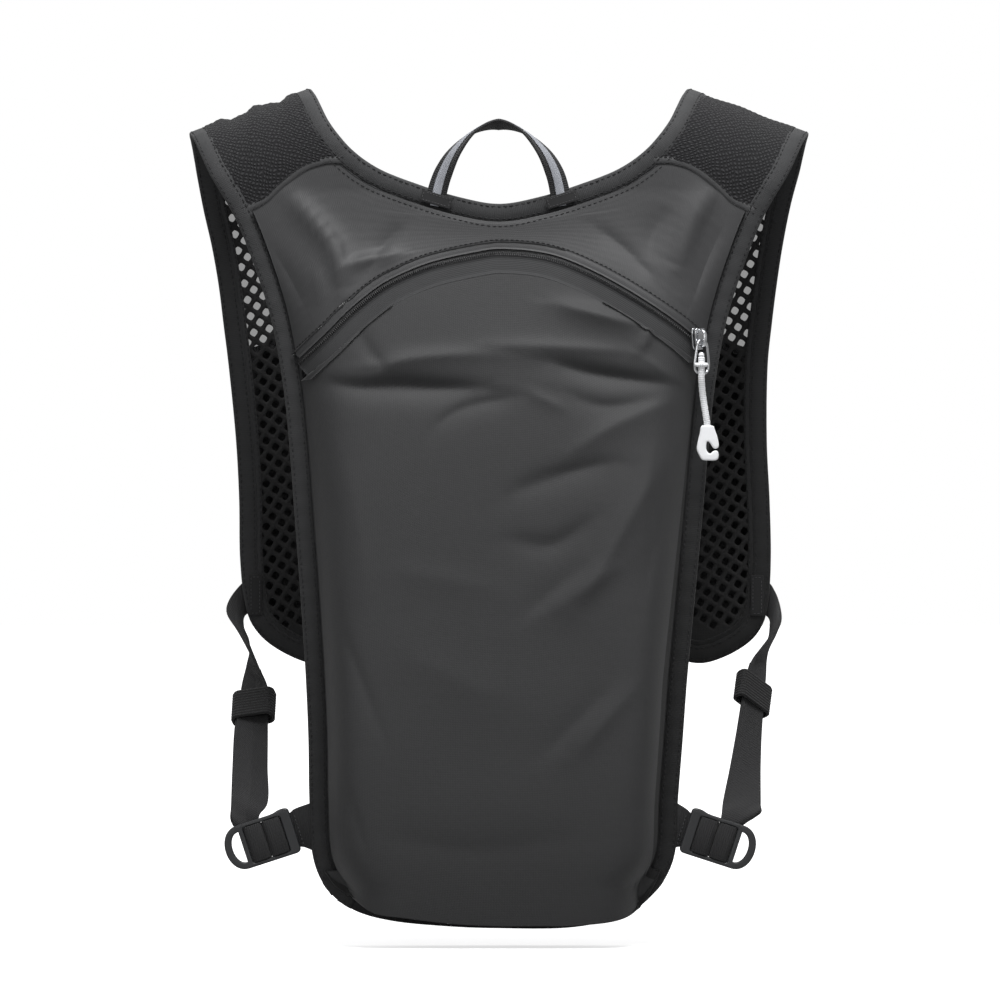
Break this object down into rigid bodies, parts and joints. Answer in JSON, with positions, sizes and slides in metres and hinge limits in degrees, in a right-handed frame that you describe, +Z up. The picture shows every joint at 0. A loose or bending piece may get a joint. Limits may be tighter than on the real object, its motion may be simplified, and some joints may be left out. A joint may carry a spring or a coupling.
{
  "type": "running hydration vest",
  "caption": "Running hydration vest with a zipped back pouch, netted front straps, side webbing with ladder locks, and a haul loop at the neck.",
  "frame": {"origin": "midway between the shoulders, at the height where the shoulder pieces sit on the wearer", "axes": "+X to the right as the pack side is looked at, +Y from the pack to the wearer's chest, +Z up"},
  "size_m": [0.3144, 0.1462, 0.4237],
  "materials": {
    "pack_cloth": "matt woven nylon, dark grey",
    "strap_cloth": "matt woven stretch cloth",
    "padding": "matt knitted padding",
    "edge_tape": "matt edge tape",
    "net": "open knitted net",
    "spacer_mesh": "knitted spacer mesh",
    "webbing": "woven webbing",
    "elastic": "ribbed elastic",
    "zip_coil": "matt coil",
    "buckle": "moulded, low sheen",
    "steel": "bright plated",
    "light_cord": "light braided cord",
    "light_rubber": "matt moulded",
    "reflective": "reflective tape"
  },
  "bodies": {
    "root": {"back_panel": "padding", "yoke": "pack_cloth", "pouch": "pack_cloth", "zip_tape_upper": "edge_tape", "zip_tape_lower": "edge_tape", "zip_chain": "zip_coil", "zip_slider": "steel", "pull_ring": "steel", "pull_cord": "light_cord", "pull_tab": "light_rubber", "neck_binding": "edge_tape", "arm_binding_left": "edge_tape", "arm_binding_right": "edge_tape", "bottom_binding": "edge_tape", "shoulder_mesh_left": "spacer_mesh", "shoulder_mesh_right": "spacer_mesh", "shoulder_seam_left": "pack_cloth", "shoulder_seam_right": "pack_cloth", "strap_net_left": "net", "strap_net_right": "net", "chest_pocket_left": "strap_cloth", "chest_pocket_right": "strap_cloth", "side_tab_left": "edge_tape", "side_tab_right": "edge_tape", "side_strap_left": "webbing", "side_strap_right": "webbing", "keeper_left": "elastic", "keeper_right": "elastic", "ladder_lock_left": "buckle", "ladder_lock_right": "buckle", "buckle_tab_left": "webbing", "buckle_tab_right": "webbing", "haul_loop": "webbing", "haul_loop_stripe": "reflective", "chest_strap": "webbing"}
  },
  "joints": []
}
